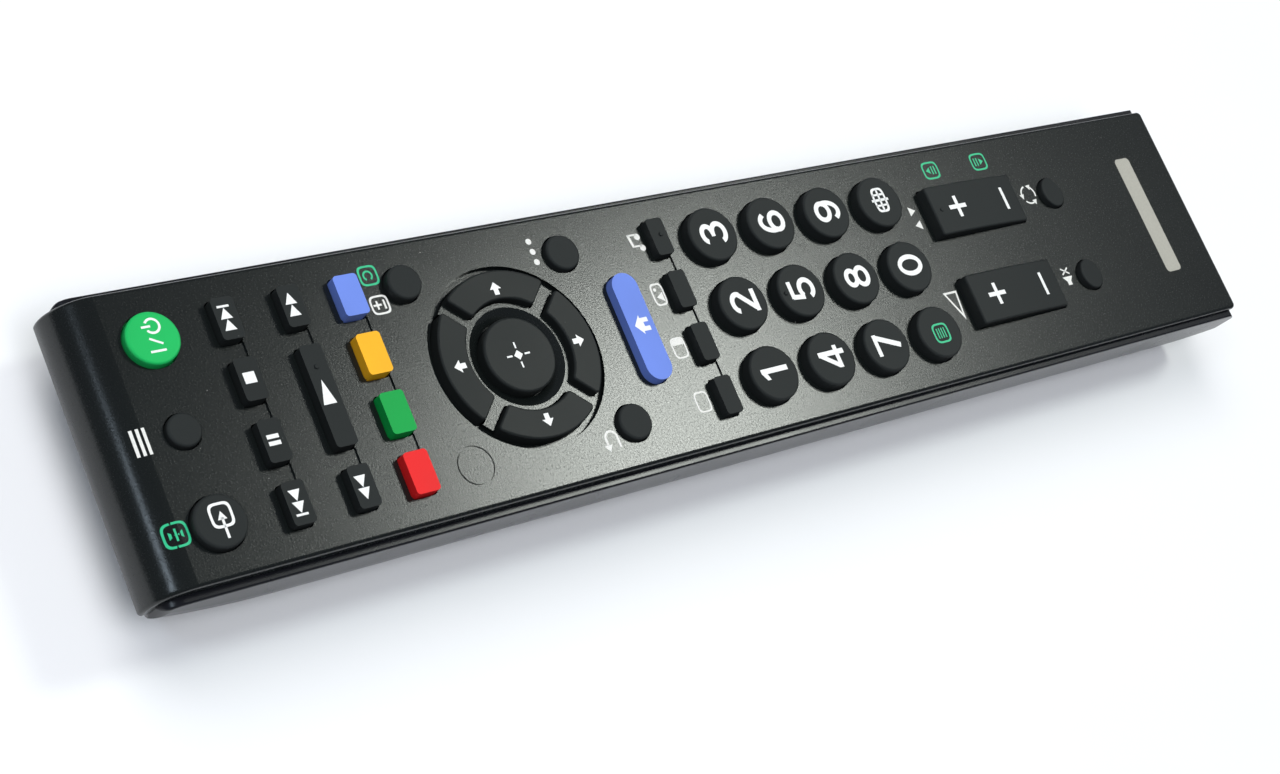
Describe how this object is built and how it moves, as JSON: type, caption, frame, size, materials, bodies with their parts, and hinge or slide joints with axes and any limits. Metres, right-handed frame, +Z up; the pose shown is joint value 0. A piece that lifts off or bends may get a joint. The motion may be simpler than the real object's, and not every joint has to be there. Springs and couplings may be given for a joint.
{
  "type": "television remote control",
  "caption": "Long flat handset with a rolled nose, a navigation ring, round number keys, rockers, sprung rubber keys and a sliding battery door.",
  "frame": {"origin": "on the surface it rests on, under the middle of the case", "axes": "+Y to the emitter end, +X to the right of the person who holds it, +Z up out of the key face"},
  "size_m": [0.0488, 0.248, 0.022],
  "materials": {
    "plate": "satin",
    "lower_plastic": "gloss",
    "key_rubber": "matte",
    "power_rubber": "satin",
    "home_rubber": "satin",
    "red_rubber": "satin",
    "green_rubber": "satin",
    "yellow_rubber": "satin",
    "blue_rubber": "satin",
    "sheet_rubber": "matte",
    "board": "satin",
    "steel": "satin",
    "contact": "satin",
    "cell": "gloss",
    "clear_lens": "clear",
    "window": "polished",
    "chip": "matte"
  },
  "bodies": {
    "case": {"top_case": "plate", "bottom_case": "lower_plastic", "circuit_board": "board", "key_sheet": "sheet_rubber", "screws": "steel", "batteries": "cell", "battery_contacts": "contact", "battery_springs": "contact", "emitter_led": "clear_lens", "ir_window": "window", "controller_chip": "chip", "resonator": "chip", "capacitor": "cell"},
    "door": {"battery_door": "lower_plastic"},
    "blue_key": {"blue_key": "blue_rubber"},
    "forward_key": {"forward_key": "key_rubber"},
    "function_a_key": {"function_a_key": "key_rubber"},
    "function_b_key": {"function_b_key": "key_rubber"},
    "function_c_key": {"function_c_key": "key_rubber"},
    "function_d_key": {"function_d_key": "key_rubber"},
    "green_key": {"green_key": "green_rubber"},
    "home_key": {"home_key": "home_rubber"},
    "info_key": {"info_key": "key_rubber"},
    "input_key": {"input_key": "key_rubber"},
    "jump_key": {"jump_key": "key_rubber"},
    "menu_key": {"menu_key": "key_rubber"},
    "mute_key": {"mute_key": "key_rubber"},
    "nav_down_key": {"nav_down_key": "key_rubber"},
    "nav_left_key": {"nav_left_key": "key_rubber"},
    "nav_right_key": {"nav_right_key": "key_rubber"},
    "nav_up_key": {"nav_up_key": "key_rubber"},
    "next_key": {"next_key": "key_rubber"},
    "number_0_key": {"number_0_key": "key_rubber"},
    "number_1_key": {"number_1_key": "key_rubber"},
    "number_2_key": {"number_2_key": "key_rubber"},
    "number_3_key": {"number_3_key": "key_rubber"},
    "number_4_key": {"number_4_key": "key_rubber"},
    "number_5_key": {"number_5_key": "key_rubber"},
    "number_6_key": {"number_6_key": "key_rubber"},
    "number_7_key": {"number_7_key": "key_rubber"},
    "number_8_key": {"number_8_key": "key_rubber"},
    "number_9_key": {"number_9_key": "key_rubber"},
    "number_left_key": {"number_left_key": "key_rubber"},
    "number_right_key": {"number_right_key": "key_rubber"},
    "options_key": {"options_key": "key_rubber"},
    "pause_key": {"pause_key": "key_rubber"},
    "play_key": {"play_key": "key_rubber"},
    "power_key": {"power_key": "power_rubber"},
    "previous_key": {"previous_key": "key_rubber"},
    "programme_rocker": {"programme_rocker": "key_rubber"},
    "red_key": {"red_key": "red_rubber"},
    "return_key": {"return_key": "key_rubber"},
    "rewind_key": {"rewind_key": "key_rubber"},
    "select_key": {"select_key": "key_rubber"},
    "stop_key": {"stop_key": "key_rubber"},
    "volume_rocker": {"volume_rocker": "key_rubber"},
    "yellow_key": {"yellow_key": "yellow_rubber"}
  },
  "joints": [
    {"name": "door_slide", "type": "slide", "parent": "case", "child": "door", "axis": [0, -1, 0], "range_m": [0, 0.055]},
    {"name": "blue_key_press", "type": "slide", "parent": "case", "child": "blue_key", "axis": [0, 0, -1], "range_m": [0, 0.0008], "stiffness_N_per_m": 900},
    {"name": "forward_key_press", "type": "slide", "parent": "case", "child": "forward_key", "axis": [0, 0, -1], "range_m": [0, 0.0008], "stiffness_N_per_m": 900},
    {"name": "function_a_key_press", "type": "slide", "parent": "case", "child": "function_a_key", "axis": [0, 0, -1], "range_m": [0, 0.0008], "stiffness_N_per_m": 900},
    {"name": "function_b_key_press", "type": "slide", "parent": "case", "child": "function_b_key", "axis": [0, 0, -1], "range_m": [0, 0.0008], "stiffness_N_per_m": 900},
    {"name": "function_c_key_press", "type": "slide", "parent": "case", "child": "function_c_key", "axis": [0, 0, -1], "range_m": [0, 0.0008], "stiffness_N_per_m": 900},
    {"name": "function_d_key_press", "type": "slide", "parent": "case", "child": "function_d_key", "axis": [0, 0, -1], "range_m": [0, 0.0008], "stiffness_N_per_m": 900},
    {"name": "green_key_press", "type": "slide", "parent": "case", "child": "green_key", "axis": [0, 0, -1], "range_m": [0, 0.0008], "stiffness_N_per_m": 900},
    {"name": "home_key_press", "type": "slide", "parent": "case", "child": "home_key", "axis": [0, 0, -1], "range_m": [0, 0.0008], "stiffness_N_per_m": 900},
    {"name": "info_key_press", "type": "slide", "parent": "case", "child": "info_key", "axis": [0, 0, -1], "range_m": [0, 0.0008], "stiffness_N_per_m": 900},
    {"name": "input_key_press", "type": "slide", "parent": "case", "child": "input_key", "axis": [0, 0, -1], "range_m": [0, 0.0008], "stiffness_N_per_m": 900},
    {"name": "jump_key_press", "type": "slide", "parent": "case", "child": "jump_key", "axis": [0, 0, -1], "range_m": [0, 0.0008], "stiffness_N_per_m": 900},
    {"name": "menu_key_press", "type": "slide", "parent": "case", "child": "menu_key", "axis": [0, 0, -1], "range_m": [0, 0.0008], "stiffness_N_per_m": 900},
    {"name": "mute_key_press", "type": "slide", "parent": "case", "child": "mute_key", "axis": [0, 0, -1], "range_m": [0, 0.0008], "stiffness_N_per_m": 900},
    {"name": "nav_down_key_press", "type": "slide", "parent": "case", "child": "nav_down_key", "axis": [0, 0, -1], "range_m": [0, 0.0008], "stiffness_N_per_m": 900},
    {"name": "nav_left_key_press", "type": "slide", "parent": "case", "child": "nav_left_key", "axis": [0, 0, -1], "range_m": [0, 0.0008], "stiffness_N_per_m": 900},
    {"name": "nav_right_key_press", "type": "slide", "parent": "case", "child": "nav_right_key", "axis": [0, 0, -1], "range_m": [0, 0.0008], "stiffness_N_per_m": 900},
    {"name": "nav_up_key_press", "type": "slide", "parent": "case", "child": "nav_up_key", "axis": [0, 0, -1], "range_m": [0, 0.0008], "stiffness_N_per_m": 900},
    {"name": "next_key_press", "type": "slide", "parent": "case", "child": "next_key", "axis": [0, 0, -1], "range_m": [0, 0.0008], "stiffness_N_per_m": 900},
    {"name": "number_0_key_press", "type": "slide", "parent": "case", "child": "number_0_key", "axis": [0, 0, -1], "range_m": [0, 0.0008], "stiffness_N_per_m": 900},
    {"name": "number_1_key_press", "type": "slide", "parent": "case", "child": "number_1_key", "axis": [0, 0, -1], "range_m": [0, 0.0008], "stiffness_N_per_m": 900},
    {"name": "number_2_key_press", "type": "slide", "parent": "case", "child": "number_2_key", "axis": [0, 0, -1], "range_m": [0, 0.0008], "stiffness_N_per_m": 900},
    {"name": "number_3_key_press", "type": "slide", "parent": "case", "child": "number_3_key", "axis": [0, 0, -1], "range_m": [0, 0.0008], "stiffness_N_per_m": 900},
    {"name": "number_4_key_press", "type": "slide", "parent": "case", "child": "number_4_key", "axis": [0, 0, -1], "range_m": [0, 0.0008], "stiffness_N_per_m": 900},
    {"name": "number_5_key_press", "type": "slide", "parent": "case", "child": "number_5_key", "axis": [0, 0, -1], "range_m": [0, 0.0008], "stiffness_N_per_m": 900},
    {"name": "number_6_key_press", "type": "slide", "parent": "case", "child": "number_6_key", "axis": [0, 0, -1], "range_m": [0, 0.0008], "stiffness_N_per_m": 900},
    {"name": "number_7_key_press", "type": "slide", "parent": "case", "child": "number_7_key", "axis": [0, 0, -1], "range_m": [0, 0.0008], "stiffness_N_per_m": 900},
    {"name": "number_8_key_press", "type": "slide", "parent": "case", "child": "number_8_key", "axis": [0, 0, -1], "range_m": [0, 0.0008], "stiffness_N_per_m": 900},
    {"name": "number_9_key_press", "type": "slide", "parent": "case", "child": "number_9_key", "axis": [0, 0, -1], "range_m": [0, 0.0008], "stiffness_N_per_m": 900},
    {"name": "number_left_key_press", "type": "slide", "parent": "case", "child": "number_left_key", "axis": [0, 0, -1], "range_m": [0, 0.0008], "stiffness_N_per_m": 900},
    {"name": "number_right_key_press", "type": "slide", "parent": "case", "child": "number_right_key", "axis": [0, 0, -1], "range_m": [0, 0.0008], "stiffness_N_per_m": 900},
    {"name": "options_key_press", "type": "slide", "parent": "case", "child": "options_key", "axis": [0, 0, -1], "range_m": [0, 0.0008], "stiffness_N_per_m": 900},
    {"name": "pause_key_press", "type": "slide", "parent": "case", "child": "pause_key", "axis": [0, 0, -1], "range_m": [0, 0.0008], "stiffness_N_per_m": 900},
    {"name": "play_key_press", "type": "slide", "parent": "case", "child": "play_key", "axis": [0, 0, -1], "range_m": [0, 0.0008], "stiffness_N_per_m": 900},
    {"name": "power_key_press", "type": "slide", "parent": "case", "child": "power_key", "axis": [0, 0, -1], "range_m": [0, 0.0008], "stiffness_N_per_m": 900},
    {"name": "previous_key_press", "type": "slide", "parent": "case", "child": "previous_key", "axis": [0, 0, -1], "range_m": [0, 0.0008], "stiffness_N_per_m": 900},
    {"name": "programme_rocker_tip", "type": "hinge", "parent": "case", "child": "programme_rocker", "pos_m": [0.0095, -0.0614, 0.01725], "axis": [1, 0, 0], "range_deg": [-2.5, 2.5], "stiffness_Nm_per_rad": 0.3},
    {"name": "red_key_press", "type": "slide", "parent": "case", "child": "red_key", "axis": [0, 0, -1], "range_m": [0, 0.0008], "stiffness_N_per_m": 900},
    {"name": "return_key_press", "type": "slide", "parent": "case", "child": "return_key", "axis": [0, 0, -1], "range_m": [0, 0.0008], "stiffness_N_per_m": 900},
    {"name": "rewind_key_press", "type": "slide", "parent": "case", "child": "rewind_key", "axis": [0, 0, -1], "range_m": [0, 0.0008], "stiffness_N_per_m": 900},
    {"name": "select_key_press", "type": "slide", "parent": "case", "child": "select_key", "axis": [0, 0, -1], "range_m": [0, 0.0008], "stiffness_N_per_m": 900},
    {"name": "stop_key_press", "type": "slide", "parent": "case", "child": "stop_key", "axis": [0, 0, -1], "range_m": [0, 0.0008], "stiffness_N_per_m": 900},
    {"name": "volume_rocker_tip", "type": "hinge", "parent": "case", "child": "volume_rocker", "pos_m": [-0.0092, -0.0614, 0.01725], "axis": [1, 0, 0], "range_deg": [-2.5, 2.5], "stiffness_Nm_per_rad": 0.3},
    {"name": "yellow_key_press", "type": "slide", "parent": "case", "child": "yellow_key", "axis": [0, 0, -1], "range_m": [0, 0.0008], "stiffness_N_per_m": 900}
  ]
}
